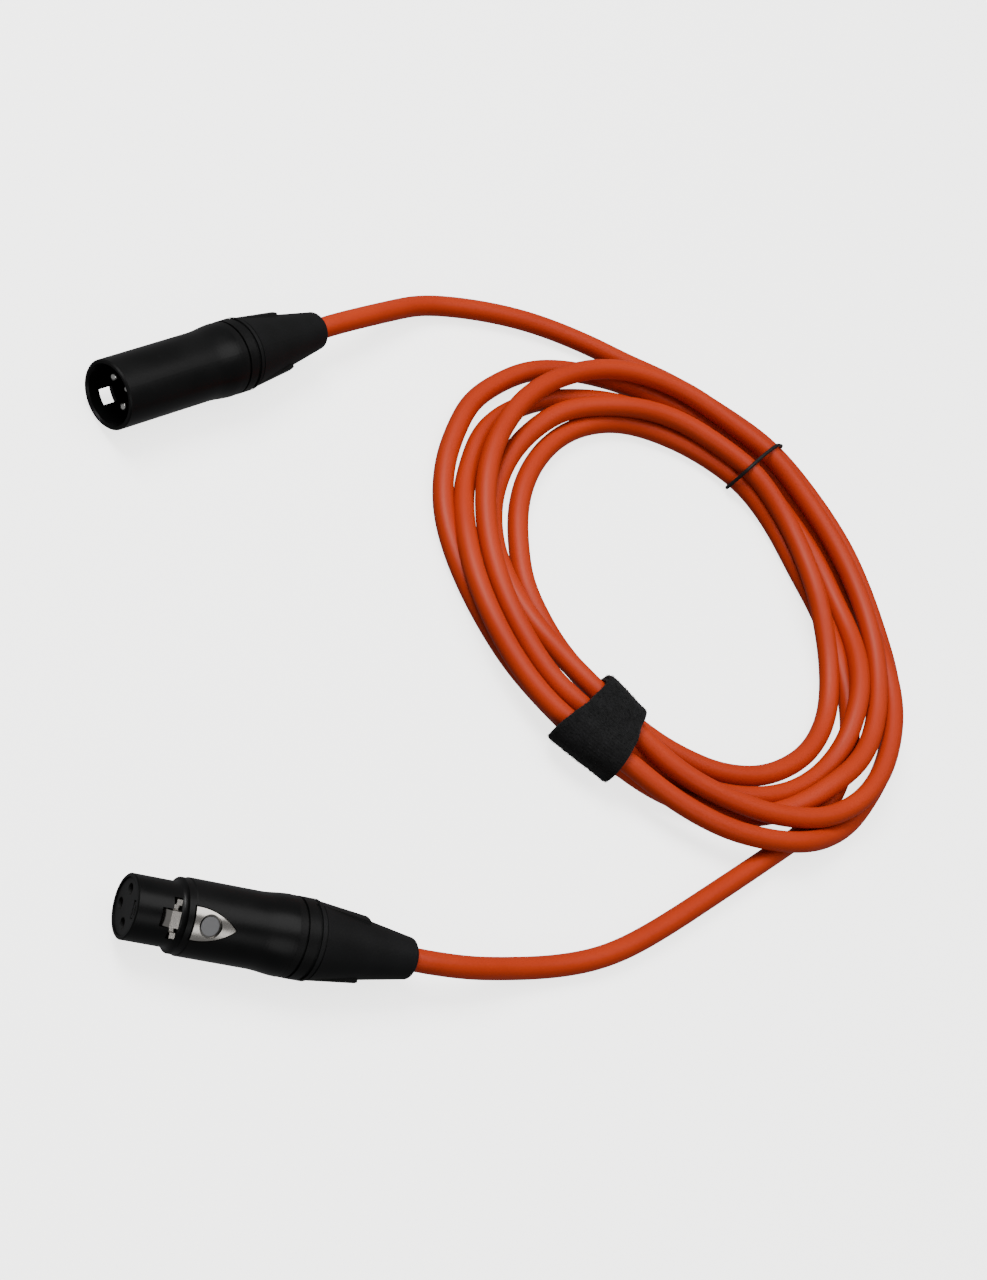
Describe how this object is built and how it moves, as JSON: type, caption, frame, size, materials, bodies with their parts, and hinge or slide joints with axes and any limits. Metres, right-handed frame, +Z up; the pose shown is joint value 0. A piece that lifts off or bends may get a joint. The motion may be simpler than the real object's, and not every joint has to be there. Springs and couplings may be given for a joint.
{
  "type": "xlr cable coil",
  "caption": "Coiled audio cable held by a hook-and-loop strap and a thin ring, with a male and a female three-pin locking connector on its free ends.",
  "frame": {"origin": "on the surface that it lies on, under the middle of the connectors and ties taken together", "axes": "+Z up off that surface, +X along the longer side of the same group, from the connectors towards the coil"},
  "size_m": [0.269, 0.2359, 0.0203],
  "materials": {
    "shell_black": "satin black coating",
    "bushing_black": "matte moulded",
    "boot_black": "matte soft",
    "insert_black": "matte moulded",
    "contact_silver": "polished plating",
    "contact_gold": "polished plating",
    "latch_silver": "polished rim and matte top",
    "spring_steel": "satin",
    "chuck_white": "matte moulded",
    "wire_copper": "bare strands",
    "wire_red": "soft gloss",
    "wire_white": "soft gloss",
    "jacket": "satin soft jacket",
    "strap": "looped pile on one side and hooks on the other",
    "ring_black": "matte"
  },
  "bodies": {
    "cable": {"male_shell": "shell_black", "male_insert": "insert_black", "male_pin_1": "contact_silver", "male_pin_2": "contact_silver", "male_pin_3": "contact_silver", "male_ground_spring": "spring_steel", "male_chuck": "chuck_white", "male_coding_ring": "bushing_black", "male_bushing": "bushing_black", "male_boot": "boot_black", "male_wire_1": "wire_copper", "male_wire_2": "wire_red", "male_wire_3": "wire_white", "male_cable_end": "jacket", "female_shell": "shell_black", "female_insert": "insert_black", "female_contact_1": "contact_gold", "female_contact_2": "contact_gold", "female_contact_3": "contact_gold", "female_ground_contact": "spring_steel", "latch_pin": "spring_steel", "latch_spring": "spring_steel", "female_chuck": "chuck_white", "female_coding_ring": "bushing_black", "female_bushing": "bushing_black", "female_boot": "boot_black", "female_wire_1": "wire_copper", "female_wire_2": "wire_red", "female_wire_3": "wire_white", "female_cable_end": "jacket", "male_lead": "jacket", "cable_coil": "jacket", "female_lead": "jacket", "cable_strap": "strap", "bundle_ring": "ring_black"},
    "latch": {"latch_lever": "latch_silver"}
  },
  "joints": [
    {"name": "latch_press", "type": "hinge", "parent": "cable", "child": "latch", "pos_m": [-0.06287, -0.10327, 0.01485], "axis": [0.0512, -0.8371, -0.5446], "range_deg": [0, 4], "stiffness_Nm_per_rad": 0.5, "deforming": ["latch_spring"]}
  ]
}
